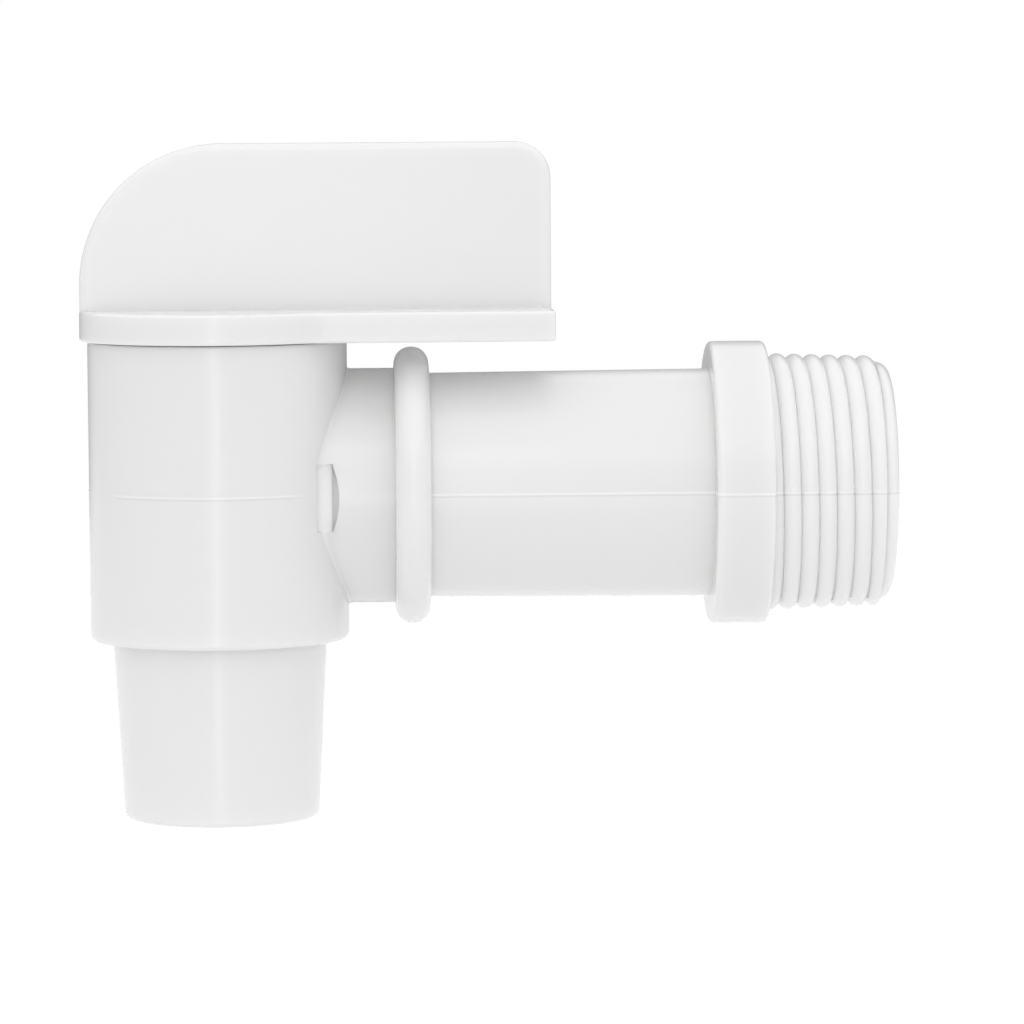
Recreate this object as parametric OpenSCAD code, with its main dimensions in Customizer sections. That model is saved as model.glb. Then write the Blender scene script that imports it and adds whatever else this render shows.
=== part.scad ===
// Drum faucet in moulded polyethylene: a one-piece body with a tapered pipe thread,
// and a quarter-turn handle whose hollow plug carries the liquid from the side port to the spout.
// Millimetres. +X runs along the inlet towards the drum, +Z is up along the valve axis.
// The origin is on the inlet axis, at the shoulder of the collar where the thread begins.

/* [Barrel and spout] */
// Outer diameter of the upright barrel
barrel_od = 26.9; // [26:0.1:30]
// Wall of the barrel around the plug
barrel_wall = 2.45; // [2.2:0.05:3]
// Depth of the barrel's underside below the inlet axis
barrel_drop = 15.8; // [14:0.1:24]
// Thickness of the ledge under the plug
barrel_floor = 2.6; // [1.6:0.1:4]
// Rounding of the barrel's lower edge
barrel_edge = 0.6; // [0.2:0.1:1.2]
// Outer diameter of the spout where it leaves the barrel
spout_top_od = 22.2; // [21:0.1:24]
// Outer diameter of the spout at its mouth
spout_tip_od = 20.2; // [18.6:0.1:21]
// Length of the spout below the barrel
spout_len = 18.6; // [8:0.1:40]
// Wall of the spout at its mouth
spout_wall = 1.8; // [1.2:0.1:3]
// Rounding of the spout's outer lip
spout_edge = 0.6; // [0.2:0.1:1]

/* [Inlet] */
// Clear length of the stub between barrel and bead
stub_len = 4.85; // [3:0.05:12]
// Height of the stub
stub_h = 24.4; // [21:0.1:26]
// Depth of the stub from side to side
stub_w = 17.3; // [16:0.1:20]
// How far past the stub's top its side arcs would meet, where the top is blunted
stub_peak = 0.22; // [0.1:0.02:0.6]
// Diameter of the port from the inlet into the barrel
port_d = 13; // [8:0.1:13.6]
// Outer diameter of the bead
bead_od = 28.8; // [28:0.1:34]
// Width of the bead
bead_w = 3.6; // [3:0.1:6]
// Rounding of the bead's edges
bead_round = 1.75; // [0.6:0.05:1.75]
// Length of the plain tube
tube_len = 29.1; // [10:0.1:80]
// Outer diameter of the tube beside the bead
tube_od = 23.3; // [21:0.1:25]
// Outer diameter of the tube beside the collar
tube_far_od = 23.7; // [21:0.1:25]
// Wall of the tube beside the bead
tube_wall = 2.15; // [1.6:0.05:3]
// Outer diameter of the collar
collar_od = 29.4; // [28:0.1:36]
// Length of the collar
collar_len = 5.9; // [3:0.1:12]
// Rounding of the collar's edges
collar_edge = 0.5; // [0.2:0.1:1]

/* [Pipe thread] */
// Threads to the inch
threads_per_inch = 14; // [11:0.5:18]
// Outer diameter of the thread at the collar
thread_od = 26.8; // [26:0.1:28]
// Length of the threaded stretch
thread_len = 11.5; // [8:0.1:20]
// Taper of the thread, as length to one unit of diameter
thread_taper = 16; // [12:1:40]
// Depth of the thread
thread_depth = 0.75; // [0.4:0.05:0.85]
// Length of the plain pilot ahead of the thread
pilot_len = 1.4; // [1:0.1:4]
// Outer diameter of the pilot
pilot_od = 24.8; // [23:0.1:25]
// Rounding of the pilot's edge
pilot_round = 1.3; // [0.4:0.1:1.4]

/* [Gate flat] */
// Length of the flat beside the barrel
gate_len = 1.6; // [1:0.1:3]
// Height of the flat
gate_h = 7; // [3:0.1:9]
// Distance of the flat's middle below the inlet axis
gate_drop = 0.7; // [0:0.05:2]
// Depth of the flat below the stub's crown
gate_cut = 0.5; // [0.2:0.05:0.9]
// Width of the half moon beside the flat
moon_w = 0.95; // [0.3:0.05:2]
// Depth of the half moon below the flat
moon_cut = 0.95; // [0.2:0.05:1]

/* [Handle] */
// Gap between the bead and the handle that passes over it
bead_gap = 0.9; // [0.4:0.1:4]
// Running gap between the barrel's rim and the handle plate
seat_gap = 0.1; // [0.1:0.05:0.4]
// Thickness of the handle plate at its edge
plate_t = 3.1; // [2.4:0.1:5]
// How far the plate's round end stands past the barrel
plate_lip = 0.8; // [0.3:0.05:3]
// Distance from the valve axis to the handle's square tip
handle_reach = 34.8; // [28:0.5:60]
// Width of the handle plate where it leaves the round end
bar_root_w = 21.8; // [16:0.2:26]
// Width of the handle plate at its tip
bar_tip_w = 20; // [12:0.2:26]
// Fillet between the round end and the straight sides
bar_fillet = 5; // [2:0.5:8]
// Web and side wall left around the hollow under the tip
tray_wall = 1.6; // [1.2:0.1:2.2]
// Height of the grip blade above the plate
blade_h = 17.2; // [10:0.1:30]
// Thickness of the grip blade
blade_t = 3.6; // [2.4:0.1:6]
// Radius of the blade's heel above the valve axis
heel_r = 14.7; // [6:0.1:16]
// Radius of the blade's upper tip corner
tip_r = 3.7; // [1.5:0.1:8]
// Rounding of the blade's edges
blade_edge = 0.75; // [0.3:0.05:1.1]
// How far the blade's ends stay inside the plate
blade_inset = 0.1; // [0:0.05:1]

/* [Plug] */
// Radial running clearance of the plug in the barrel
plug_fit = 0.05; // [0.02:0.01:0.1]
// Wall of the hollow plug
plug_wall = 1.9; // [1.4:0.1:3]
// Gap between the plug's end and the ledge below it
plug_end_gap = 0.3; // [0.1:0.1:1]
// Height of the hollow above the port's edge
hollow_rise = 1.6; // [0.6:0.1:2]
// Height of the retaining ridge near the plug's foot
ridge_h = 1.4; // [1:0.1:2]
// How far the retaining ridge stands out of the plug
ridge_out = 0.5; // [0.2:0.05:0.8]
// Height of the retaining ridge above the plug's end
ridge_up = 1.2; // [0.6:0.1:3]
// Clearance around the retaining ridge
ridge_fit = 0.15; // [0.1:0.05:0.3]

/* [Turn stop] */
// Angle that the handle turns from open to shut
turn = 90; // [60:5:110]
// Width of the stop lug as an angle about the valve axis
lug_angle = 20; // [10:1:30]
// How far the lug stands out of the plug
lug_out = 1.2; // [0.8:0.1:1.6]
// Height of the lug below the plate
lug_h = 1.8; // [1:0.1:2.5]
// Clearance around the lug
lug_fit = 0.15; // [0.1:0.05:0.3]

/* [Plug seal] */
// Cord diameter of the O-ring
ring_cord = 1.8; // [1.4:0.1:2]
// Clearance of the O-ring to bore and groove floor
ring_fit = 0.02; // [0.01:0.01:0.05]
// Spare width of the O-ring's groove
groove_spare = 0.4; // [0.2:0.1:0.8]
// Distance from the barrel's rim down to the groove
seal_drop = 3.3; // [2.4:0.1:3.6]

/* [Hidden] */

$fn = 96;
eps = 0.01;
fuse = 0.5;
inch = 25.4;
blade_fn = 48;

barrel_r = barrel_od / 2;
bore_r = barrel_r - barrel_wall;
plug_r = bore_r - plug_fit;
cavity_r = plug_r - plug_wall;
spout_bore_r = spout_tip_od / 2 - spout_wall;
inlet_bore_r = tube_od / 2 - tube_wall;
stub_depth = stub_w / 2;

bead_x = barrel_r + stub_len;
tube_x = bead_x + bead_w;
collar_x = tube_x + tube_len;
valve_x = collar_x + collar_len;

plate_z = bead_od / 2 + bead_gap;
plate_top = plate_z + plate_t;
barrel_top = plate_z - seat_gap;
floor_z = barrel_floor - barrel_drop;
spout_z = -barrel_drop - spout_len;
blade_top = plate_top + blade_h;
disc_r = barrel_r + plate_lip;

plug_foot = floor_z + plug_end_gap;
ridge_z = plug_foot + ridge_up;
cavity_top = port_d / 2 + hollow_rise;
groove_h = ring_cord + groove_spare;
groove_z = barrel_top - seal_drop - groove_h;
ring_z = groove_z + groove_h / 2;
ring_r = bore_r - ring_fit - ring_cord / 2;
groove_r = ring_r - ring_cord / 2 - ring_fit;

pitch = inch / threads_per_inch;
crest_round = (pitch * pitch / 4 + thread_depth * thread_depth) / (2 * thread_depth);
thread_turns = floor(thread_len / pitch);
thread_r = thread_od / 2;
slope = 1 / (2 * thread_taper);
function crest_at(x) = thread_r - x * slope;

// A part is drawn about the valve axis and moved to its place beside the collar
module at_valve() {
    translate([-valve_x, 0, 0]) children();
}

// Rod along +X with rounded edges at its near and far ends
module rod_x(x, r, len, near_edge, far_edge) {
    translate([x, 0, 0]) rotate([0, 90, 0]) turned_rod(r, len, near_edge, far_edge);
}

// Rod along +Z with a rounded edge at each end
module turned_rod(r, len, low_edge, high_edge) {
    rotate_extrude() {
        square([r - max(low_edge, high_edge), len]);
        translate([0, low_edge]) square([r, len - low_edge - high_edge]);
        translate([r - low_edge, low_edge]) circle(low_edge);
        translate([r - high_edge, len - high_edge]) circle(high_edge);
    }
}

// Upright barrel with its rounded lower edge
module barrel() {
    translate([0, 0, -barrel_drop])
        turned_rod(barrel_r, barrel_drop + barrel_top, barrel_edge, barrel_edge / 2);
}

// Tapered spout with a rounded lip
module spout() {
    tip_r_out = spout_tip_od / 2;
    translate([0, 0, spout_z + spout_edge])
        cylinder(r1 = tip_r_out, r2 = spout_top_od / 2, h = spout_len - spout_edge + eps);
    translate([0, 0, spout_z]) turned_rod(tip_r_out, 3 * spout_edge, spout_edge, spout_edge);
}

// Stub between barrel and bead: two shallow side arcs, blunted above and below
module stub() {
    arc_h = stub_h / 2 + stub_peak;
    arc_r = (arc_h * arc_h + stub_depth * stub_depth) / (2 * stub_depth);
    len = bead_x + bead_w / 2;
    intersection() {
        translate([0, arc_r - stub_depth, 0]) rotate([0, 90, 0]) cylinder(r = arc_r, h = len);
        translate([0, stub_depth - arc_r, 0]) rotate([0, 90, 0]) cylinder(r = arc_r, h = len);
        rotate([0, 90, 0]) cylinder(d = stub_h, h = len);
    }
}

// Flat where the gate was trimmed off, with a deeper half moon beside it
module gate_flat() {
    face = stub_depth - gate_cut;
    from = sqrt(barrel_r * barrel_r - face * face) - fuse;
    to = from + gate_len;
    moon_r = (gate_h * gate_h / 4 + moon_w * moon_w) / (2 * moon_w);
    translate([0, 0, -gate_drop]) {
        translate([from, -face - 2 * gate_cut, -gate_h / 2])
            cube([gate_len + eps, 2 * gate_cut, gate_h]);
        translate([0, moon_cut - face, 0]) rotate([90, 0, 0])
            linear_extrude(moon_cut + 2 * gate_cut) intersection() {
                translate([to + moon_w - moon_r, 0]) circle(moon_r);
                translate([to, -gate_h / 2]) square([moon_w, gate_h]);
            }
    }
}

module bead() {
    edge = min(bead_round, bead_w / 2 - eps);
    rod_x(bead_x, bead_od / 2, bead_w, edge, edge);
}

module tube() {
    translate([tube_x - fuse, 0, 0]) rotate([0, 90, 0])
        cylinder(d1 = tube_od, d2 = tube_far_od, h = tube_len + 2 * fuse);
}

module collar() {
    rod_x(collar_x, collar_od / 2, collar_len, collar_edge, collar_edge);
}

// Round-crested ring ridges on a tapering core, one to each pitch
module pipe_thread() {
    first = pitch * 0.85;
    root_depth = thread_depth - eps;
    translate([valve_x, 0, 0]) rotate([0, 90, 0]) rotate_extrude() {
        polygon([[0, -fuse], [crest_at(0) - root_depth, -fuse],
                 [crest_at(thread_len) - root_depth, thread_len], [0, thread_len]]);
        for (i = [0:thread_turns - 1])
            translate([crest_at(first + i * pitch) - crest_round, first + i * pitch])
                circle(crest_round);
    }
}

module pilot() {
    rod_x(valve_x, pilot_od / 2, thread_len + pilot_len, pilot_round, pilot_round);
}

// Everything that the body's cores leave open
module body_bores() {
    translate([0, 0, floor_z]) cylinder(r = bore_r, h = barrel_drop + barrel_top);
    translate([0, 0, spout_z - fuse]) cylinder(r = spout_bore_r, h = spout_len + barrel_drop);
    rotate([0, 90, 0]) cylinder(d = port_d, h = valve_x);
    translate([bead_x + bead_w / 2, 0, 0]) rotate([0, 90, 0])
        cylinder(r = inlet_bore_r, h = valve_x + thread_len);
    ridge_groove();
    stop_notch();
}

// Groove that the plug's retaining ridge snaps into
module ridge_groove() {
    translate([0, 0, ridge_z - ridge_fit])
        cylinder(r = plug_r + ridge_out + ridge_fit, h = ridge_h + 2 * ridge_fit);
}

// Notch in the barrel's rim that ends the handle's turn
module stop_notch() {
    spare = lug_fit / bore_r * 180 / PI;
    span = turn + lug_angle + 2 * spare;
    translate([0, 0, plate_z - lug_h - lug_fit])
        rotate([0, 0, 180 - turn - lug_angle / 2 - spare])
            rotate_extrude(angle = span) square([plug_r + lug_out + lug_fit, lug_h + 2 * fuse]);
}

// Body: barrel, spout, stub, bead, tube, collar and thread, moulded in one
module body() {
    color([0.93, 0.93, 0.92]) at_valve() difference() {
        union() {
            barrel();
            spout();
            stub();
            bead();
            tube();
            collar();
            pipe_thread();
            pilot();
        }
        body_bores();
        gate_flat();
    }
}

// Half of the fillets that blend the plate's round end into its sides
module side_fillet(lean, side) {
    far = disc_r + bar_fillet;
    rise = side + bar_fillet;
    along = sqrt(far * far - rise * rise);
    rotate(-lean) difference() {
        polygon([[0, 0], [disc_r / far * along, disc_r / far * rise], [along, side], [along, 0]]);
        translate([along, rise]) circle(bar_fillet);
    }
}

// Plan of the handle plate: a round end over the barrel and a bar out to the square tip
module plate_plan() {
    lean = atan((bar_root_w - bar_tip_w) / 2 / handle_reach);
    side = bar_root_w / 2 * cos(lean);
    circle(disc_r);
    polygon([[0, -bar_root_w / 2], [handle_reach, -bar_tip_w / 2],
             [handle_reach, bar_tip_w / 2], [0, bar_root_w / 2]]);
    side_fillet(lean, side);
    mirror([0, 1]) side_fillet(lean, side);
}

// Hollow under the tip, open downwards
module tray() {
    from = barrel_r + tray_wall;
    to = handle_reach - tray_wall;
    drop = (bar_root_w - bar_tip_w) / 2 / handle_reach;
    from_w = bar_root_w / 2 - drop * from - tray_wall;
    to_w = bar_root_w / 2 - drop * to - tray_wall;
    translate([0, 0, plate_z - fuse]) linear_extrude(plate_t - tray_wall + fuse)
        polygon([[from, -from_w], [to, -to_w], [to, to_w], [from, from_w]]);
}

// Disc on edge with rounded rims, a corner of the blade
module blade_corner(x, z, r) {
    translate([x, 0, z]) rotate([90, 0, 0]) {
        cylinder(r = r, h = blade_t - 2 * blade_edge, center = true, $fn = blade_fn);
        cylinder(r = r - blade_edge, h = blade_t, center = true, $fn = blade_fn);
    }
}

// Foot of the blade at one end, with its upright edges eased
module blade_foot(x, dir) {
    ease = blade_edge * dir;
    for (side = [-1, 1])
        translate([x + ease, side * (blade_t / 2 - blade_edge), plate_top - fuse])
            cylinder(r = blade_edge, h = fuse, $fn = blade_fn / 2);
}

// Upright grip blade with a round heel over the valve axis
module blade() {
    back_x = blade_inset - disc_r;
    front_x = handle_reach - blade_inset;
    intersection() {
        hull() {
            blade_corner(back_x + heel_r, blade_top - heel_r, heel_r);
            blade_corner(front_x - tip_r, blade_top - tip_r, tip_r);
            blade_foot(back_x, 1);
            blade_foot(front_x, -1);
        }
        translate([back_x, -blade_t / 2, plate_top - fuse])
            cube([front_x - back_x, blade_t, blade_h + fuse]);
    }
}

// Plug with its retaining ridge and stop lug
module plug() {
    translate([0, 0, plug_foot]) cylinder(r = plug_r, h = plate_z - plug_foot + fuse);
    translate([0, 0, ridge_z]) cylinder(r1 = plug_r + ridge_out / 2, r2 = plug_r + ridge_out, h = ridge_h);
    translate([0, 0, plate_z - lug_h]) rotate([0, 0, 180 - lug_angle / 2])
        rotate_extrude(angle = lug_angle) square([plug_r + lug_out, lug_h + fuse]);
}

// Hollow, side port and seal groove of the plug
module plug_cuts() {
    translate([0, 0, plug_foot - fuse]) cylinder(r = cavity_r, h = cavity_top - plug_foot + fuse);
    rotate([0, 90, 0]) cylinder(d = port_d, h = barrel_r);
    translate([0, 0, groove_z]) difference() {
        cylinder(r = plug_r + fuse, h = groove_h);
        translate([0, 0, -fuse]) cylinder(r = groove_r, h = groove_h + 2 * fuse);
    }
}

// Handle: plate, grip blade and hollow plug, moulded in one
module handle() {
    color([0.98, 0.98, 0.98]) at_valve() difference() {
        union() {
            translate([0, 0, plate_z]) linear_extrude(plate_t) plate_plan();
            blade();
            plug();
        }
        plug_cuts();
        tray();
    }
}

// O-ring on the plug above the port
module plug_seal() {
    color([0.12, 0.12, 0.12]) at_valve() translate([0, 0, ring_z])
        rotate_extrude() translate([ring_r, 0]) circle(d = ring_cord);
}

body();
handle();
plug_seal();
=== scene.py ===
import math

import bmesh
import bpy
from mathutils import Matrix, Vector


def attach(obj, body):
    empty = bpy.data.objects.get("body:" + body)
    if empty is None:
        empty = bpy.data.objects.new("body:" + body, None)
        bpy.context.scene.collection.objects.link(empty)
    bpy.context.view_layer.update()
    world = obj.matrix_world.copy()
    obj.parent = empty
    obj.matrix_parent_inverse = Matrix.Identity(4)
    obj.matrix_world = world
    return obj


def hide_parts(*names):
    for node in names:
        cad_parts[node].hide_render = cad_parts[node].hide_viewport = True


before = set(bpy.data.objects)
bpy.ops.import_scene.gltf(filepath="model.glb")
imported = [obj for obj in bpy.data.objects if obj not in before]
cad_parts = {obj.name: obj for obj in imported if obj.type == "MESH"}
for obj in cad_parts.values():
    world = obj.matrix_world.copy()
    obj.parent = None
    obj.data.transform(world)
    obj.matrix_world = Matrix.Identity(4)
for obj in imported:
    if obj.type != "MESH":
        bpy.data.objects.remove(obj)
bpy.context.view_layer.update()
print("frame loaded:", sorted(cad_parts))

mm = 0.001
valvePlace = -56.9  # the valve axis from the collar's shoulder, in mm
intoRow = Matrix.Translation((valvePlace * mm, 0, 0)) @ Matrix.Diagonal((mm, mm, mm, 1))


# Pieces are drawn in mm about the valve axis, and brought into the row frame when finished

meshing = {
    "merge": 1e-4, "cutMerge": 2e-4, "threadMerge": 0.002,  # vertices closer than this become one
    "near": 1e-3, "onPlane": 1e-5, "onAxis": 1e-6,
    "bigRound": 0.4, "bigSteps": 8, "smallSteps": 3,  # segments over and under bigRound
    "over": 1,  # how far a cutter stands out of what it cuts
    "crease": 32,  # edges sharper than this many degrees stay sharp
    "upright": 1,  # edges that rise more than this are upright
    "rim": 1,  # edges over this many radians are rims
    "apart": -1,  # keeps the two halves of a mirrored outline from merging
}


def roundCorner(mesh, vert, size):
    steps = meshing["bigSteps"] if size > meshing["bigRound"] else meshing["smallSteps"]
    bmesh.ops.bevel(mesh, geom=[vert], offset=size, segments=steps, profile=0.5,
                    affect="VERTICES", material=-1)


def turnedSolid(mesh, corners, axis, steps):
    # corners are (along, radius, rounding), drawn as a half section and spun about X or Z
    along = axis == "X"
    points = [(a, r, 0) if along else (r, 0, a) for a, r, _ in corners]
    verts = [mesh.verts.new(p) for p in points]
    face = mesh.faces.new(verts)
    for vert, corner in zip(verts, corners):
        if corner[2]:
            roundCorner(mesh, vert, corner[2])
    face = mesh.faces[:][0]
    onAxis = [e for e in face.edges
              if all((v.co.y if along else v.co.x) < meshing["onAxis"] for v in e.verts)]
    bmesh.ops.delete(mesh, geom=[face], context="FACES_ONLY")
    bmesh.ops.delete(mesh, geom=onAxis, context="EDGES")
    bmesh.ops.spin(mesh, geom=mesh.verts[:] + mesh.edges[:], cent=(0, 0, 0),
                   axis=(1, 0, 0) if along else (0, 0, 1), angle=2 * math.pi, steps=steps,
                   use_merge=True)
    tidySolid(mesh)


def tidySolid(mesh):
    bmesh.ops.remove_doubles(mesh, verts=mesh.verts[:], dist=meshing["merge"])
    bmesh.ops.recalc_face_normals(mesh, faces=mesh.faces[:])


def onlyVerts(parts):
    return [part for part in parts if isinstance(part, bmesh.types.BMVert)]


def arcFrom(mesh, vert, centre, axis, angle, steps):
    # carries a vertex round an arc and gives back the last one
    made = bmesh.ops.spin(mesh, geom=[vert], cent=centre, axis=axis, angle=angle, steps=steps)
    return onlyVerts(made["geom_last"])[0]


def mirrorOutline(mesh, merge):
    bmesh.ops.mirror(mesh, geom=mesh.verts[:] + mesh.edges[:], axis="Y", merge_dist=merge)


def closeOutline(mesh):
    bmesh.ops.remove_doubles(mesh, verts=mesh.verts[:], dist=meshing["merge"])
    ends = [v for v in mesh.verts if len(v.link_edges) == 1]
    if ends:
        mesh.edges.new(ends)
    return bmesh.ops.edgeloop_fill(mesh, edges=mesh.edges[:])["faces"][0]


def thicken(mesh, face, move):
    made = bmesh.ops.extrude_face_region(mesh, geom=[face])["geom"]
    bmesh.ops.translate(mesh, verts=onlyVerts(made), vec=move)
    bmesh.ops.recalc_face_normals(mesh, faces=mesh.faces[:])


def sweptRing(corners, start, angle, steps, name):
    # corners are (radius, z), turned about Z from the start angle; both angles are in degrees
    mesh = bmesh.new()
    mesh.faces.new([mesh.verts.new((r, 0, z)) for r, z in corners])
    bmesh.ops.rotate(mesh, verts=mesh.verts[:], cent=(0, 0, 0),
                     matrix=Matrix.Rotation(math.radians(start), 3, "Z"))
    bmesh.ops.spin(mesh, geom=mesh.verts[:] + mesh.edges[:] + mesh.faces[:], cent=(0, 0, 0),
                   axis=(0, 0, 1), angle=math.radians(angle), steps=steps)
    tidySolid(mesh)
    return asObject(mesh, name)


def roundEdges(mesh, edges, size, steps):
    bmesh.ops.bevel(mesh, geom=edges, offset=size, segments=steps, profile=0.5,
                    affect="EDGES", material=-1)


def rises(edge):
    return abs(edge.verts[0].co.z - edge.verts[1].co.z)


def asObject(mesh, name):
    data = bpy.data.meshes.new(name)
    mesh.to_mesh(data)
    mesh.free()
    obj = bpy.data.objects.new(name, data)
    bpy.context.scene.collection.objects.link(obj)
    return obj


def joinSolids(first, added, cutters):
    for other, operation in [(o, "UNION") for o in added] + [(o, "DIFFERENCE") for o in cutters]:
        step = first.modifiers.new(operation.lower(), "BOOLEAN")
        step.operation = operation
        step.solver = "EXACT"
        step.object = other
    bpy.context.view_layer.update()
    graph = bpy.context.evaluated_depsgraph_get()
    shaped = bpy.data.meshes.new_from_object(first.evaluated_get(graph))
    for obj in [first, *added, *cutters]:
        bpy.data.objects.remove(obj)
    mesh = bmesh.new()
    mesh.from_mesh(shaped)
    bpy.data.meshes.remove(shaped)
    bmesh.ops.remove_doubles(mesh, verts=mesh.verts[:], dist=meshing["cutMerge"])
    bmesh.ops.dissolve_degenerate(mesh, dist=meshing["cutMerge"], edges=mesh.edges[:])
    # a corner between only two edges folds over when the faces beside it are cut into triangles
    bmesh.ops.dissolve_verts(mesh, verts=[v for v in mesh.verts if len(v.link_edges) == 2])
    return mesh


def finishPiece(mesh, name, body, node):
    for face in mesh.faces:
        face.smooth = True
    for edge in mesh.edges:
        if edge.is_manifold and edge.calc_face_angle(0) > math.radians(meshing["crease"]):
            edge.smooth = False
    mesh.transform(intoRow)
    obj = asObject(mesh, name)
    normals = obj.modifiers.new("weightedNormals", "WEIGHTED_NORMAL")
    normals.keep_sharp = True
    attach(obj, body)
    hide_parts(node)
    print("piece", name, len(obj.data.polygons), "faces")
    return obj


cameraPlace = {
    "position": (11.997, -520.0, 39.5443),  # mm from the crossing of the two axes
    "yaw": 0.0356, "pitch": 0.0815, "roll": -0.007,  # radians
    "focal": 5003.9 / 1024,  # in frame widths
    "sensor": 36, "near": 0.01, "far": 50,
}


def addCamera():
    place = cameraPlace
    yaw, pitch, roll = place["yaw"], place["pitch"], place["roll"]
    forward = Vector((math.sin(yaw) * math.cos(pitch), math.cos(yaw) * math.cos(pitch),
                      -math.sin(pitch)))
    right = Vector((math.cos(yaw), -math.sin(yaw), 0))
    up = right.cross(forward)
    turnedRight = math.cos(roll) * right + math.sin(roll) * up
    turnedUp = -math.sin(roll) * right + math.cos(roll) * up
    turned = Matrix((turnedRight, turnedUp, -forward)).transposed().to_4x4()
    data = bpy.data.cameras.new("photoCamera")
    data.sensor_width = place["sensor"]
    data.lens = place["focal"] * place["sensor"]
    data.clip_start, data.clip_end = place["near"], place["far"]
    camera = bpy.data.objects.new("photoCamera", data)
    bpy.context.scene.collection.objects.link(camera)
    camera.matrix_world = Matrix.Translation(intoRow @ Vector(place["position"])) @ turned
    bpy.context.scene.camera = camera


addCamera()
print("camera placed")


bodyShape = {
    "barrelRadius": 13.45, "barrelTop": 15.2, "underside": -15.8, "barrelEdge": 0.6,
    "ledge": -13.2, "ledgeEdge": 0.2, "boreRadius": 11.0,
    "spoutFoot": 11.1, "spoutTip": 10.1, "spoutEnd": -34.4, "spoutEdge": 0.6, "spoutBore": 8.3,
    "spoutBoreEdge": 0.3, "spoutCrease": 0.25, "chamfer": 0.25,
    "snapRadius": 11.6, "snapLow": -11.85, "snapHigh": -10.15,
    "steps": 160,
}
inletShape = {
    "beadStart": 18.3, "beadEnd": 21.9, "beadRadius": 14.4, "beadRound": 1.75,
    "tubeNear": 11.65, "tubeFar": 11.85, "tubeCrease": 0.2,
    "collarStart": 51.0, "collarEnd": 56.9, "collarRadius": 14.7, "collarEdge": 0.5,
    "core": 12.2, "threadEnd": 68.4,
    "pilotRadius": 12.4, "pilotEnd": 69.8, "pilotEdge": 1.3,
    "boreRadius": 9.5, "boreStart": 20.1, "boreEdge": 0.3, "portRadius": 6.5, "chamfer": 0.25,
    "steps": 160, "boreSteps": 120,
}
stubShape = {
    "depth": 8.65, "height": 12.2, "peak": 0.22, "end": 20.0,
    "flare": 0.25, "flareRows": 4, "steps": 40,
    "sunk": 0.6, "footSunk": 0.03,  # how deep the flare's first rows lie in the barrel
}
threadShape = {
    "pitch": 25.4 / 14, "crest": 13.4, "taper": 1 / 32, "depth": 0.75,
    "phase": 0.95,  # the crest's place past the collar where it crosses +Y, in mm
    "turns": 10, "stepsPerTurn": 120, "profileSteps": 12,
    "fadeFrom": 6.1, "fadeOver": 0.75,  # in turns from the phase
    "early": 2,  # turns that start inside the collar
    "sunk": 1.2, "endInset": 0.01,  # where the ends are cut, in mm inside the collar and the pilot
}
gateShape = {
    "face": 8.0, "start": 10.2, "end": 11.8, "height": 7.0, "drop": 0.7, "open": 12,
    "lap": 0.1,  # how far the flat runs into the half moon
    "reliefFloor": 7.45, "reliefWidth": 0.7, "reliefOpen": 5, "steps": 24,
}
notchShape = {
    "low": 13.35, "high": 17, "inner": 8, "radius": 12.3, "start": 78.5, "span": 113, "steps": 40,
}
seamShape = {
    "level": -0.2, "half": 0.16, "rise": 0.05,
    "pastBead": 0.1, "outside": 11, "onWall": 0.01,  # where the line stands on the inlet and barrel
}


def barrelAndSpout():
    s = bodyShape
    mesh = bmesh.new()
    turnedSolid(mesh, [
        (s["barrelTop"], 0, 0),
        (s["barrelTop"], s["barrelRadius"], s["barrelEdge"] / 2),
        (s["underside"], s["barrelRadius"], s["barrelEdge"]),
        (s["underside"], s["spoutFoot"], s["spoutCrease"]),
        (s["spoutEnd"], s["spoutTip"], s["spoutEdge"]),
        (s["spoutEnd"], 0, 0),
    ], "Z", s["steps"])
    return asObject(mesh, "barrelSolid")


def valveBore():
    s = bodyShape
    over, chamfer = meshing["over"], s["chamfer"]
    mesh = bmesh.new()
    turnedSolid(mesh, [
        (s["barrelTop"] + over, 0, 0),
        (s["barrelTop"] + over, s["boreRadius"] + chamfer + over, 0),
        (s["barrelTop"] - chamfer, s["boreRadius"], 0),
        (s["snapHigh"], s["boreRadius"], 0),
        (s["snapHigh"], s["snapRadius"], 0),
        (s["snapLow"], s["snapRadius"], 0),
        (s["snapLow"], s["boreRadius"], 0),
        (s["ledge"], s["boreRadius"], s["ledgeEdge"]),
        (s["ledge"], s["spoutBore"], s["spoutBoreEdge"]),
        (s["spoutEnd"] + chamfer, s["spoutBore"], 0),
        (s["spoutEnd"] - over, s["spoutBore"] + chamfer + over, 0),
        (s["spoutEnd"] - over, 0, 0),
    ], "Z", s["steps"])
    return asObject(mesh, "valveBore")


def inletSolid():
    s = inletShape
    mesh = bmesh.new()
    turnedSolid(mesh, [
        (s["beadStart"], 0, 0),
        (s["beadStart"], s["beadRadius"], s["beadRound"]),
        (s["beadEnd"], s["beadRadius"], s["beadRound"]),
        (s["beadEnd"], s["tubeNear"], s["tubeCrease"]),
        (s["collarStart"], s["tubeFar"], s["tubeCrease"]),
        (s["collarStart"], s["collarRadius"], s["collarEdge"]),
        (s["collarEnd"], s["collarRadius"], s["collarEdge"]),
        (s["collarEnd"], s["core"], 0),
        (s["threadEnd"], s["core"], 0),
        (s["threadEnd"], s["pilotRadius"], 0),
        (s["pilotEnd"], s["pilotRadius"], s["pilotEdge"]),
        (s["pilotEnd"], 0, 0),
    ], "X", s["steps"])
    return asObject(mesh, "inletSolid")


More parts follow.
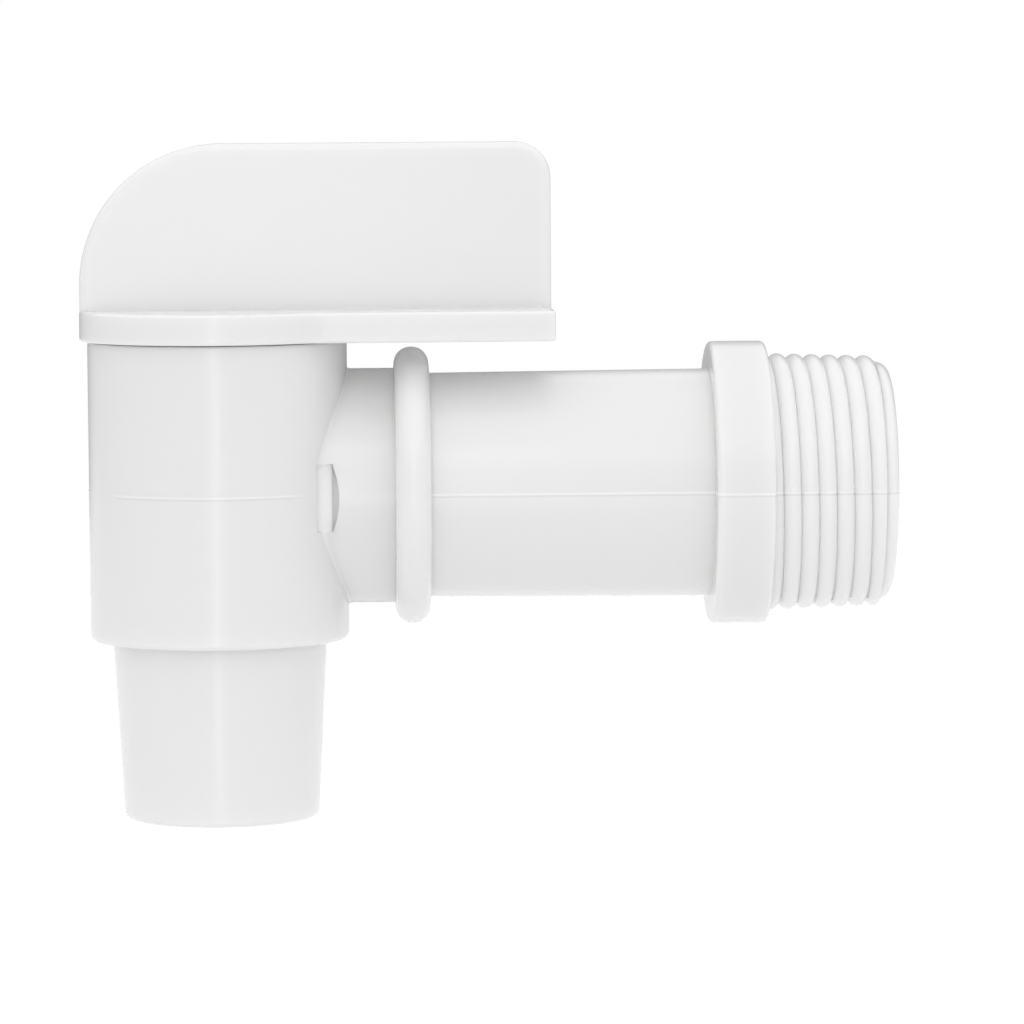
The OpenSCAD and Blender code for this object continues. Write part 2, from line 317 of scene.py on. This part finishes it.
def inletBore():
    s = inletShape
    over, chamfer = meshing["over"], s["chamfer"]
    mesh = bmesh.new()
    turnedSolid(mesh, [
        (0, 0, 0),
        (0, s["portRadius"], 0),
        (s["boreStart"], s["portRadius"], 0),
        (s["boreStart"], s["boreRadius"], s["boreEdge"]),
        (s["pilotEnd"] - chamfer, s["boreRadius"], 0),
        (s["pilotEnd"] + over, s["boreRadius"] + chamfer + over, 0),
        (s["pilotEnd"] + over, 0, 0),
    ], "X", s["boreSteps"])
    return asObject(mesh, "inletBore")


def stubArc():
    # radius of the stub's bulging sides, and how far their centres lie past the middle
    arcHeight = stubShape["height"] + stubShape["peak"]
    radius = (arcHeight ** 2 + stubShape["depth"] ** 2) / (2 * stubShape["depth"])
    return radius, radius - stubShape["depth"]


def stubSolid():
    s = stubShape
    arcRadius, inset = stubArc()
    # where the side arc meets the blunting circle of the stub's height
    lean = math.acos((inset ** 2 + arcRadius ** 2 - s["height"] ** 2) / (2 * inset * arcRadius))
    mesh = bmesh.new()
    start = mesh.verts.new((0, inset - arcRadius * math.cos(lean), arcRadius * math.sin(lean)))
    arcFrom(mesh, start, (0, inset, 0), (1, 0, 0), 2 * lean, s["steps"])
    mirrorOutline(mesh, meshing["apart"])
    tips = [v for v in mesh.verts if len(v.link_edges) == 1]
    for top in (True, False):
        pair = [v for v in tips if (v.co.z > 0) == top]
        mesh.edges.new(pair)
    outline = mesh.edges[:]
    barrelRadius = bodyShape["barrelRadius"]
    plan = {v: v.co.copy() for v in mesh.verts}

    def setRow(row, out, stand):
        for vert, base in row.items():
            centre = Vector((0, math.copysign(inset, -base.y), 0))
            away = (base - centre).normalized()
            place = base + away * out
            vert.co = (math.sqrt((barrelRadius + stand) ** 2 - place.y ** 2), place.y, place.z)

    def nextRow(edges, row):
        made = bmesh.ops.extrude_edge_only(mesh, edges=edges)["geom"]
        bases = {}
        for vert in onlyVerts(made):
            source = min(row, key=lambda old: (old.co - vert.co).length)
            bases[vert] = row[source]
        return [g for g in made if isinstance(g, bmesh.types.BMEdge)], bases

    size = s["flare"]
    row, edges = plan, outline
    setRow(row, size, -s["sunk"])
    mesh.faces.new(loopOrder(outline))
    for step in range(s["flareRows"] + 1):
        angle = math.pi / 2 * step / s["flareRows"]
        edges, row = nextRow(edges, row)
        stand = size * (1 - math.cos(angle)) if step else -s["footSunk"]
        setRow(row, size * (1 - math.sin(angle)), stand)
    edges, row = nextRow(edges, row)
    for vert, base in row.items():
        vert.co = (s["end"], base.y, base.z)
    mesh.faces.new(loopOrder(edges))
    tidySolid(mesh)
    return asObject(mesh, "stubSolid")


def loopOrder(edges):
    # vertices of one closed loop of edges, in order
    edge, left = edges[0], set(edges)
    loop = edge.verts[:]
    while True:
        left.discard(edge)
        edge = next((e for e in loop[-1].link_edges if e in left), None)
        if edge is None or edge.other_vert(loop[-1]) is loop[0]:
            return loop
        loop.append(edge.other_vert(loop[-1]))


def threadSolid():
    s = threadShape
    pitch, collar = s["pitch"], inletShape["collarEnd"]
    crestRound = (pitch ** 2 / 4 + s["depth"] ** 2) / (2 * s["depth"])
    halfAngle = math.asin(pitch / 2 / crestRound)
    mesh = bmesh.new()
    # one scallop of the thread, valley to valley, starting inside the collar
    firstCrest = collar + s["phase"] - s["early"] * pitch
    centre = Vector((firstCrest, s["crest"] - crestRound, 0))
    toValley = Vector((-math.sin(halfAngle), math.cos(halfAngle), 0)) * crestRound
    start = mesh.verts.new(centre + toValley)
    arcFrom(mesh, start, centre, (0, 0, 1), -2 * halfAngle, s["profileSteps"])
    turns, perTurn = s["turns"], s["stepsPerTurn"]
    bmesh.ops.spin(mesh, geom=mesh.verts[:] + mesh.edges[:], cent=(0, 0, 0), axis=(1, 0, 0),
                   angle=2 * math.pi * turns, steps=turns * perTurn, dvec=(pitch / perTurn, 0, 0))
    bmesh.ops.remove_doubles(mesh, verts=mesh.verts[:], dist=meshing["threadMerge"])
    valley = s["crest"] - s["depth"]
    for vert in mesh.verts:
        radius = math.hypot(vert.co.y, vert.co.z)
        past = vert.co.x - collar
        turn = math.atan2(vert.co.z, vert.co.y) / (2 * math.pi)
        crestTurn = turn + round((past - s["phase"]) / pitch - turn)
        keep = 1 - min(1, max(0, (crestTurn - s["fadeFrom"]) / s["fadeOver"]))
        wanted = valley + (radius - valley) * keep - past * s["taper"]
        vert.co.y *= wanted / radius
        vert.co.z *= wanted / radius
    for place, outward in ((collar - s["sunk"], -1), (inletShape["threadEnd"] - s["endInset"], 1)):
        bmesh.ops.bisect_plane(mesh, geom=mesh.verts[:] + mesh.edges[:] + mesh.faces[:],
                               dist=meshing["onPlane"], plane_co=(place, 0, 0),
                               plane_no=(outward, 0, 0), clear_outer=True)
        rim = [e for e in mesh.edges
               if e.is_boundary and all(abs(v.co.x - place) < meshing["near"] for v in e.verts)]
        bmesh.ops.edgeloop_fill(mesh, edges=rim)
    tidySolid(mesh)
    return asObject(mesh, "threadSolid")


def gateFlat():
    # where the gate was trimmed off beside the barrel
    s = gateShape
    mesh = bmesh.new()
    low, end = -s["height"] / 2 - s["drop"], s["end"] + s["lap"]
    corners = [(s["start"], s["face"]), (end, s["face"]), (end, s["open"]), (s["start"], s["open"])]
    face = mesh.faces.new([mesh.verts.new((x, -y, low)) for x, y in corners])
    thicken(mesh, face, (0, 0, s["height"]))
    return asObject(mesh, "gateFlat")


def gateRelief():
    # the deeper half moon beside the flat
    s = gateShape
    half, width = s["height"] / 2, s["reliefWidth"]
    radius = (half ** 2 + width ** 2) / (2 * width)
    reach = math.asin(half / radius)
    centre = (s["end"] + width - radius, -s["reliefFloor"], -s["drop"])
    mesh = bmesh.new()
    start = mesh.verts.new((s["end"], -s["reliefFloor"], half - s["drop"]))
    arcFrom(mesh, start, centre, (0, 1, 0), 2 * reach, s["steps"])
    thicken(mesh, closeOutline(mesh), (0, -s["reliefOpen"], 0))
    return asObject(mesh, "gateRelief")


def stopNotch():
    s = notchShape
    corners = [(s["inner"], s["low"]), (s["radius"], s["low"]),
               (s["radius"], s["high"]), (s["inner"], s["high"])]
    return sweptRing(corners, s["start"], s["span"], s["steps"], "stopNotch")


def raiseSeam(mesh):
    # the mould's parting line, round the barrel and along both sides of the inlet past the bead
    s = seamShape
    for step in (-1, 0, 1):
        bmesh.ops.bisect_plane(mesh, geom=mesh.verts[:] + mesh.edges[:] + mesh.faces[:],
                               dist=meshing["onPlane"], plane_no=(0, 0, 1),
                               plane_co=(0, 0, s["level"] + step * s["half"]))
    for vert in mesh.verts:
        if abs(vert.co.z - s["level"]) > meshing["near"]:
            continue
        x, y = vert.co.x, vert.co.y
        if abs(math.hypot(x, y) - bodyShape["barrelRadius"]) < s["onWall"]:
            vert.co += Vector((x, y, 0)).normalized() * s["rise"]
        elif x > inletShape["beadEnd"] + s["pastBead"] and abs(y) > s["outside"]:
            vert.co.y += math.copysign(s["rise"], y)


def makeBody():
    mesh = joinSolids(barrelAndSpout(), [stubSolid(), inletSolid(), threadSolid()],
                      [valveBore(), inletBore(), gateFlat(), gateRelief(), stopNotch()])
    raiseSeam(mesh)
    return finishPiece(mesh, "faucetBody", "body", "body")


faucetBody = makeBody()


plateShape = {
    "bottom": 15.3, "top": 18.4, "disc": 14.25, "reach": 34.8,
    "rootWidth": 21.8, "tipWidth": 20, "fillet": 5, "edge": 0.3, "corner": 0.5,
    "trayStart": 15.05, "trayEnd": 33.2, "wall": 1.6, "trayTop": 16.8,
    "trayCorner": 0.8, "trayEdge": 0.3,
    "discSteps": 72, "filletSteps": 12, "cornerSteps": 5, "edgeSteps": 4, "trayEdgeSteps": 3,
}
bladeShape = {
    "back": -14.15, "front": 34.7, "top": 35.6, "thick": 3.6, "heel": 14.7, "tip": 3.7,
    "edge": 0.75, "edgeSteps": 6, "heelSteps": 48, "tipSteps": 20, "buried": 0.5,
    "foot": 0.45, "footSteps": 8, "footInset": 0.9, "footSunk": 0.02,
    "footIn": 0.3, "footOver": 0.1,  # how far its section reaches into the blade and over its arc
}
plugShape = {
    "radius": 10.95, "foot": -12.9, "cavity": 9.05, "cavityTop": 8.1, "port": 6.5,
    "ridgeLow": -11.7, "ridgeHigh": -10.3, "ridgeStart": 11.2, "ridgeRadius": 11.45,
    "grooveLow": 9.7, "grooveHigh": 11.9, "grooveFloor": 9.14,
    "cavityRound": 0.8, "footRound": 0.3, "grooveRound": 0.2, "lipRound": 0.1,
    "lugInner": 9.5, "lugRadius": 12.15, "lugLow": 13.5, "lugAngle": 20, "lugSteps": 8,
    "portReach": 13, "portSteps": 96, "buried": 0.5, "lugBuried": 0.4, "steps": 128,
}


def handlePlate():
    s = plateShape
    lean = math.atan((s["rootWidth"] - s["tipWidth"]) / 2 / s["reach"])
    side = s["rootWidth"] / 2 * math.cos(lean)
    rise = side + s["fillet"]
    along = math.sqrt((s["disc"] + s["fillet"]) ** 2 - rise ** 2)
    joinAngle = math.atan2(rise, along) - lean
    centre = Matrix.Rotation(-lean, 3, "Z") @ Vector((along, rise, 0))
    mesh = bmesh.new()
    heel = mesh.verts.new((-s["disc"], 0, 0))
    last = arcFrom(mesh, heel, (0, 0, 0), (0, 0, 1), joinAngle - math.pi, s["discSteps"])
    last = arcFrom(mesh, last, centre, (0, 0, 1), math.pi / 2 - joinAngle - lean, s["filletSteps"])
    tip = mesh.verts.new((s["reach"], s["tipWidth"] / 2, 0))
    mesh.edges.new((last, tip))
    mirrorOutline(mesh, meshing["near"])
    face = closeOutline(mesh)
    bmesh.ops.translate(mesh, verts=mesh.verts[:], vec=(0, 0, s["bottom"]))
    thicken(mesh, face, (0, 0, s["top"] - s["bottom"]))
    upright = [e for e in mesh.edges if rises(e) > meshing["upright"]
               and abs(e.verts[0].co.x - s["reach"]) < meshing["near"]]
    roundEdges(mesh, upright, s["corner"], s["cornerSteps"])
    rims = [e for e in mesh.edges
            if rises(e) < meshing["merge"] and e.calc_face_angle(0) > meshing["rim"]]
    roundEdges(mesh, rims, s["edge"], s["edgeSteps"])
    return asObject(mesh, "plateSolid")


def gripBlade():
    s = bladeShape
    buried = plateShape["top"] - s["buried"]
    mesh = bmesh.new()
    low = mesh.verts.new((s["back"], 0, buried))
    turn = mesh.verts.new((s["back"], 0, s["top"] - s["heel"]))
    mesh.edges.new((low, turn))
    centre = (s["back"] + s["heel"], 0, s["top"] - s["heel"])
    last = arcFrom(mesh, turn, centre, (0, 1, 0), math.pi / 2, s["heelSteps"])
    turn = mesh.verts.new((s["front"] - s["tip"], 0, s["top"]))
    mesh.edges.new((last, turn))
    centre = (s["front"] - s["tip"], 0, s["top"] - s["tip"])
    last = arcFrom(mesh, turn, centre, (0, 1, 0), math.pi / 2, s["tipSteps"])
    mesh.edges.new((last, mesh.verts.new((s["front"], 0, buried))))
    face = closeOutline(mesh)
    bmesh.ops.translate(mesh, verts=mesh.verts[:], vec=(0, -s["thick"] / 2, 0))
    thicken(mesh, face, (0, s["thick"], 0))
    rims = [e for e in mesh.edges if abs(e.verts[0].co.y - e.verts[1].co.y) < meshing["merge"]
            and max(v.co.z for v in e.verts) > buried + meshing["near"]]
    roundEdges(mesh, rims, s["edge"], s["edgeSteps"])
    tidySolid(mesh)
    return asObject(mesh, "bladeSolid")


def bladeFoot():
    # hollow fillet along both sides of the blade, stopping inside its rounded ends
    s, top = bladeShape, plateShape["top"]
    half, size = s["thick"] / 2, s["foot"]
    mesh = bmesh.new()
    start = mesh.verts.new((0, half + size, top - s["footSunk"]))
    low = mesh.verts.new((0, half + size, top - s["buried"]))
    mesh.edges.new((low, start))
    centre = (0, half + size, top - s["footSunk"] + size)
    last = arcFrom(mesh, start, centre, (1, 0, 0), -math.pi / 2, s["footSteps"])
    over = mesh.verts.new((0, half - s["footIn"], last.co.z + s["footOver"]))
    mesh.edges.new((last, over))
    mirrorOutline(mesh, meshing["apart"])
    for high in (True, False):
        pair = [v for v in mesh.verts if len(v.link_edges) == 1 and (v.co.z > top) == high]
        mesh.edges.new(pair)
    face = closeOutline(mesh)
    bmesh.ops.translate(mesh, verts=mesh.verts[:], vec=(s["back"] + s["footInset"], 0, 0))
    thicken(mesh, face, (s["front"] - s["back"] - 2 * s["footInset"], 0, 0))
    return asObject(mesh, "bladeFoot")


def plugSolid():
    s = plugShape
    top = plateShape["bottom"] + s["buried"]
    mesh = bmesh.new()
    turnedSolid(mesh, [
        (s["cavityTop"], 0, 0),
        (s["cavityTop"], s["cavity"], s["cavityRound"]),
        (s["foot"], s["cavity"], s["grooveRound"]),
        (s["foot"], s["radius"], s["footRound"]),
        (s["ridgeLow"], s["radius"], 0),
        (s["ridgeLow"], s["ridgeStart"], 0),
        (s["ridgeHigh"], s["ridgeRadius"], s["lipRound"]),
        (s["ridgeHigh"], s["radius"], 0),
        (s["grooveLow"], s["radius"], s["lipRound"]),
        (s["grooveLow"], s["grooveFloor"], s["grooveRound"]),
        (s["grooveHigh"], s["grooveFloor"], s["grooveRound"]),
        (s["grooveHigh"], s["radius"], s["lipRound"]),
        (top, s["radius"], 0),
        (top, 0, 0),
    ], "Z", s["steps"])
    return asObject(mesh, "plugSolid")


def stopLug():
    s = plugShape
    top = plateShape["bottom"] + s["lugBuried"]
    corners = [(s["lugInner"], s["lugLow"]), (s["lugRadius"], s["lugLow"]),
               (s["lugRadius"], top), (s["lugInner"], top)]
    return sweptRing(corners, 180 - s["lugAngle"] / 2, s["lugAngle"], s["lugSteps"], "stopLug")


def plugPort():
    reach, radius = plugShape["portReach"], plugShape["port"]
    mesh = bmesh.new()
    turnedSolid(mesh, [(0, 0, 0), (0, radius, 0), (reach, radius, 0), (reach, 0, 0)],
                "X", plugShape["portSteps"])
    return asObject(mesh, "plugPort")


def trayCutter():
    s = plateShape
    drop = (s["rootWidth"] - s["tipWidth"]) / 2 / s["reach"]
    low = s["bottom"] - meshing["over"]
    mesh = bmesh.new()
    corners = []
    for end, side in (("trayStart", -1), ("trayEnd", -1), ("trayEnd", 1), ("trayStart", 1)):
        corners.append((s[end], side * (s["rootWidth"] / 2 - drop * s[end] - s["wall"]), low))
    face = mesh.faces.new([mesh.verts.new(c) for c in corners])
    thicken(mesh, face, (0, 0, s["trayTop"] - low))
    upright = [e for e in mesh.edges if rises(e) > meshing["upright"]]
    roundEdges(mesh, upright, s["trayCorner"], s["cornerSteps"])
    roof = [e for e in mesh.edges
            if all(abs(v.co.z - s["trayTop"]) < meshing["merge"] for v in e.verts)]
    roundEdges(mesh, roof, s["trayEdge"], s["trayEdgeSteps"])
    return asObject(mesh, "trayCutter")


def makeHandle():
    mesh = joinSolids(handlePlate(), [gripBlade(), bladeFoot(), plugSolid(), stopLug()],
                      [plugPort(), trayCutter()])
    return finishPiece(mesh, "turnHandle", "handle", "handle")


turnHandle = makeHandle()


class Wire:
    # a value socket that adds Math nodes when it is used in an expression
    def __init__(self, shader, socket):
        self.shader, self.socket = shader, socket

    def maths(self, operation, *values):
        return self.shader.node("ShaderNodeMath", {"operation": operation}, dict(enumerate(values)))

    def __add__(self, other):
        return self.maths("ADD", self, other)

    def __sub__(self, other):
        return self.maths("SUBTRACT", self, other)

    def __rsub__(self, other):
        return self.maths("SUBTRACT", other, self)

    def __mul__(self, other):
        return self.maths("MULTIPLY", self, other)

    def __truediv__(self, other):
        return self.maths("DIVIDE", self, other)

    def __pow__(self, other):
        return self.maths("POWER", self, other)

    def __lt__(self, other):
        return self.maths("LESS_THAN", self, other)

    def __gt__(self, other):
        return self.maths("GREATER_THAN", self, other)

    def __abs__(self):
        return self.maths("ABSOLUTE", self)

    __radd__ = __add__
    __rmul__ = __mul__

    def larger(self, other):
        return self.maths("MAXIMUM", self, other)

    def clamped(self):
        return self.shader.node("ShaderNodeClamp", None, {0: self})


class Shader:
    def __init__(self, name, world=None):
        owner = world or bpy.data.materials.new(name)
        owner.use_nodes = True
        self.owner, self.tree = owner, owner.node_tree
        self.tree.nodes.clear()

    def node(self, kind, settings=None, inputs=None, output=0):
        made = self.tree.nodes.new(kind)
        for key, value in (settings or {}).items():
            setattr(made, key, value)
        for key, value in (inputs or {}).items():
            if isinstance(value, Wire):
                self.tree.links.new(value.socket, made.inputs[key])
            else:
                made.inputs[key].default_value = value
        return Wire(self, made.outputs[output]) if made.outputs else None

    def split(self, wire):
        # the other outputs of a wire's node, by name
        return {socket.name: Wire(self, socket) for socket in wire.socket.node.outputs}

    def out(self, surface):
        kind = "World" if isinstance(self.owner, bpy.types.World) else "Material"
        self.node("ShaderNodeOutput" + kind, None, {"Surface": surface})


def objectPlace(shader):
    return shader.node("ShaderNodeTexCoord", None, None, "Object")


def softNoise(shader, place, scale, detail=3):
    return shader.node("ShaderNodeTexNoise", None, {
        "Vector": place, "Scale": scale, "Detail": detail})


def mixTone(shader, share, low, high):
    low, high = (tone if isinstance(tone, Wire) else (*tone, 1) for tone in (low, high))
    return shader.node("ShaderNodeMix", {"data_type": "RGBA"}, {0: share, 6: low, 7: high}, 2)


def fineBump(shader, grain, strength, depth):
    return shader.node("ShaderNodeBump", None, {
        "Strength": strength, "Distance": depth, "Height": grain})


# its pale and dark marking colours are painted light and painted shade, laid over the tone by the
# masks below
bodyFinish = {
    "tone": (0.862, 0.862, 0.86), "deep": (0.85, 0.85, 0.847),
    "paintedLight": (0.98, 0.98, 0.98), "shade": (0.78, 0.78, 0.777),
    "rough": (0.42, 0.5), "bump": 0.02, "bumpDepth": 0.0002, "flow": 90, "grain": 1400,
    "scatter": 1, "scatterDepth": 0.0012, "coat": 1, "coatRough": 0.2,
}
handleFinish = {
    "tone": (0.873, 0.873, 0.873), "deep": (0.865, 0.865, 0.865),
    "rough": (0.46, 0.54), "bump": 0.015, "bumpDepth": 0.0002, "flow": 60, "grain": 1600,
    "scatter": 1, "scatterDepth": 0.0007, "coat": 1, "coatRough": 0.2,
}
rubberFinish = {
    "tone": (0.022, 0.022, 0.022), "deep": (0.034, 0.034, 0.034),
    "rough": (0.6, 0.8), "bump": 0.2, "bumpDepth": 0.0001, "grain": 2600, "shine": 0.3,
}
# where the body's painted light and painted shade show, in mm, and with what share
seamMarks = {
    "half": 0.11, "share": 0.9, "from": -11, "to": 9, "fade": 2,  # along the inlet, on the barrel
    "nearWall": 0.2, "tubeInset": 0.4,
    "shadeDrop": 0.24, "shadeHalf": 0.09, "shadeShare": 0.7,
}
# painted highlight along the crease between stub and barrel
creaseHighlightMarks = {
    "out": 0.08, "outHalf": 0.14, "side": 0.07, "sideHalf": 0.16, "from": 5, "gateGap": 0.1,
    "share": 0.8,
}
# painted light on the gate face, partly its whitened cut plastic
gateMarks = {"half": 0.03, "reach": 1.65, "share": 1}
# painted light on the thread's valleys and crests and on the pilot
threadLightMarks = {"skin": 1, "from": 0.05, "thread": 0.24, "valley": 0.76, "pilot": 0.8}


def near(value, place, half):
    # 1 where a value in metres is closer than half to a place, both in mm
    return abs(value - place * mm) < half * mm


def seamLightAndShade(along, z, fromValve, fromAxis):
    # a painted highlight on the parting line and painted shade just under it, on the barrel's wall
    # and past the bead
    s = seamMarks
    middle, half = (s["to"] + s["from"]) / 2, (s["to"] - s["from"]) / 2
    fade = ((half * mm - abs(along - middle * mm)) / (s["fade"] * mm)).clamped()
    onBarrel = near(fromValve, bodyShape["barrelRadius"], s["nearWall"]) * fade
    pastBead = along > (inletShape["beadEnd"] + seamShape["pastBead"]) * mm
    onTube = fromAxis > (inletShape["tubeNear"] - s["tubeInset"]) * mm
    run = onBarrel.larger(pastBead * onTube)
    level = seamShape["level"]
    return (near(z, level, s["half"]) * run * s["share"],
            near(z, level - s["shadeDrop"], s["shadeHalf"]) * run * s["shadeShare"])


def creaseHighlightMask(along, y, z, fromValve):
    # a painted highlight where the stub runs into the barrel, above and below the gate flat, which
    # also lifts the crease's shade
    s, gate = creaseHighlightMarks, gateShape
    radius, inset = stubArc()
    sideDepth = ((radius * mm) ** 2 - z * z) ** 0.5 - inset * mm
    offGate = 1 - near(z, -gate["drop"], gate["height"] / 2 + s["gateGap"])
    onWall = near(fromValve, bodyShape["barrelRadius"] + s["out"], s["outHalf"])
    onEdge = near(abs(y) - sideDepth, s["side"], s["sideHalf"]) * (along > s["from"] * mm)
    return onWall * onEdge * offGate * s["share"]


def gateFaceLight(along, y, z):
    # the gate's cut face, paler for its whitened cut plastic and with painted light that lifts the
    # shade of its corner by the barrel
    s, gate = gateMarks, gateShape
    onFace = near(y, -gate["face"], s["half"]) * near(along, gate["start"], s["reach"])
    return onFace * near(z, -gate["drop"], gate["height"] / 2 + s["half"]) * s["share"]


def threadPaintedLight(along, fromAxis):
    # painted light on the thread, strongest in its valleys' shade, and on the pilot, standing in
    # for light through their thin walls
    s, thread, inlet = threadLightMarks, threadShape, inletShape
    past = along - inlet["collarEnd"] * mm
    outside = fromAxis > (inlet["boreRadius"] + s["skin"]) * mm
    crest = thread["crest"] * mm - past * thread["taper"]
    valley = ((crest - fromAxis) / (thread["depth"] * mm)).clamped()
    onThread = (past > s["from"] * mm) * outside
    onPilot = (along > inlet["threadEnd"] * mm) * outside
    return (onThread * (valley ** 2 * s["valley"] + s["thread"])).larger(onPilot * s["pilot"])


def satinPlastic(shader, place, flow, colour, f):
    low, high = f["rough"]
    grain = softNoise(shader, place, f["grain"], detail=2)
    shader.out(shader.node("ShaderNodeBsdfPrincipled", None, {
        "Base Color": colour, "Roughness": flow * (high - low) + low,
        "Normal": fineBump(shader, grain, f["bump"], f["bumpDepth"]),
        "Subsurface Weight": f["scatter"], "Subsurface Radius": (1, 1, 1),
        "Subsurface Scale": f["scatterDepth"],
        "Coat Weight": f["coat"], "Coat Roughness": f["coatRough"]}))
    return shader.owner


def bodyPlastic():
    f = bodyFinish
    shader = Shader("bodyPlastic")
    place = objectPlace(shader)
    parts = shader.split(shader.node("ShaderNodeSeparateXYZ", None, {0: place}))
    along, y, z = parts["X"] - valvePlace * mm, parts["Y"], parts["Z"]
    fromValve = (along * along + y * y) ** 0.5
    fromAxis = (y * y + z * z) ** 0.5
    # painted light on the thread, the gate face and the crease
    paintedLight = threadPaintedLight(along, fromAxis).larger(
        gateFaceLight(along, y, z).larger(creaseHighlightMask(along, y, z, fromValve)))
    # painted highlight and painted shade along the parting line
    seamHighlight, shadeUnderSeam = seamLightAndShade(along, z, fromValve, fromAxis)
    flow = softNoise(shader, place, f["flow"])
    colour = mixTone(shader, flow, f["deep"], f["tone"])
    colour = mixTone(shader, paintedLight, colour, f["paintedLight"])
    colour = mixTone(shader, shadeUnderSeam, colour, f["shade"])
    colour = mixTone(shader, seamHighlight, colour, f["paintedLight"])
    return satinPlastic(shader, place, flow, colour, f)


def handlePlastic():
    f = handleFinish
    shader = Shader("handlePlastic")
    place = objectPlace(shader)
    flow = softNoise(shader, place, f["flow"])
    return satinPlastic(shader, place, flow, mixTone(shader, flow, f["deep"], f["tone"]), f)


def sealRubber():
    f = rubberFinish
    shader = Shader("sealRubber")
    grain = softNoise(shader, objectPlace(shader), f["grain"], detail=2)
    low, high = f["rough"]
    shader.out(shader.node("ShaderNodeBsdfPrincipled", None, {
        "Base Color": mixTone(shader, grain, f["tone"], f["deep"]),
        "Roughness": grain * (high - low) + low,
        "Normal": fineBump(shader, grain, f["bump"], f["bumpDepth"]),
        "Specular IOR Level": f["shine"]}))
    return shader.owner


def dress(obj, material):
    obj.data.materials.clear()
    obj.data.materials.append(material)


dress(faucetBody, bodyPlastic())
dress(turnHandle, handlePlastic())
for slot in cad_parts["plug_seal"].material_slots:
    slot.material = sealRubber()
print("materials made")


studio = {
    "floorSize": 3, "floorLevel": -260, "floorTone": 0.88,
    "floorShare": 0.9, "floorGlow": 1.03,  # the floor's white for rays that see the background
    "worldLight": 0.93, "cardTone": 0.3, "cardTop": 0.5, "cardBlur": 0.1,
    "aim": (25, 0, 0),  # where the lamps point
    "lamps": {
        "stripLamp": {"place": (-12, -620, 120), "size": (0.09, 0.7), "power": 0.36},
        "topLamp": {"place": (25, -100, 1200), "size": (1.2, 1.2), "power": 0.45},
        "sideLamp": {"place": (1200, -300, 300), "size": (1, 1), "power": 0.3},
    },
}


def whiteRays(shader):
    # rays that see the white background, and the reflected ones by themselves
    rays = shader.split(shader.node("ShaderNodeLightPath"))
    glossy = rays["Is Glossy Ray"]
    return rays["Is Camera Ray"].larger(glossy).larger(rays["Is Transmission Ray"]), glossy


def addFloor():
    mesh = bmesh.new()
    bmesh.ops.create_grid(mesh, x_segments=1, y_segments=1, size=studio["floorSize"])
    bmesh.ops.translate(mesh, verts=mesh.verts[:], vec=(0, 0, studio["floorLevel"] * mm))
    floor = asObject(mesh, "paleFloor")
    shader = Shader("paleFloor")
    tone = studio["floorTone"]
    white, glossy = whiteRays(shader)
    flat = shader.node("ShaderNodeBsdfDiffuse", None, {"Color": (tone, tone, tone, 1)})
    glow = shader.node("ShaderNodeEmission", None, {"Strength": studio["floorGlow"]})
    lit = shader.node("ShaderNodeMixShader", None, {
        0: white * studio["floorShare"], 1: flat, 2: glow})
    clear = shader.node("ShaderNodeBsdfTransparent")
    fromBelow = shader.node("ShaderNodeNewGeometry", None, None, "Backfacing")
    shader.out(shader.node("ShaderNodeMixShader", None, {0: fromBelow, 1: lit, 2: clear}))
    dress(floor, shader.owner)


def addLamp(name, lamp):
    data = bpy.data.lights.new(name, "AREA")
    data.shape = "RECTANGLE"
    data.size, data.size_y = lamp["size"]
    data.energy = lamp["power"]
    obj = bpy.data.objects.new(name, data)
    bpy.context.scene.collection.objects.link(obj)
    obj.location = intoRow @ Vector(lamp["place"])
    toAim = intoRow @ Vector(studio["aim"]) - obj.location
    obj.rotation_euler = toAim.to_track_quat("-Z", "Y").to_euler()


def addWorld():
    world = bpy.data.worlds.new("studioWorld")
    bpy.context.scene.world = world
    shader = Shader("studioWorld", world)
    white, glossy = whiteRays(shader)
    # grey cards stand round the horizon, which only reflections show
    direction = shader.node("ShaderNodeTexCoord", None, None, "Generated")
    height = shader.node("ShaderNodeSeparateXYZ", None, {0: direction}, "Z")
    card = ((studio["cardTop"] - height) / studio["cardBlur"]).clamped()
    light = studio["worldLight"]
    strength = white * (1 - light) + light - glossy * card * (1 - studio["cardTone"])
    shader.out(shader.node("ShaderNodeBackground", None, {
        "Color": (1, 1, 1, 1), "Strength": strength}))


addFloor()
for lampName, lamp in studio["lamps"].items():
    addLamp(lampName, lamp)
addWorld()
bpy.context.scene.view_settings.view_transform = "Standard"
print("studio set")
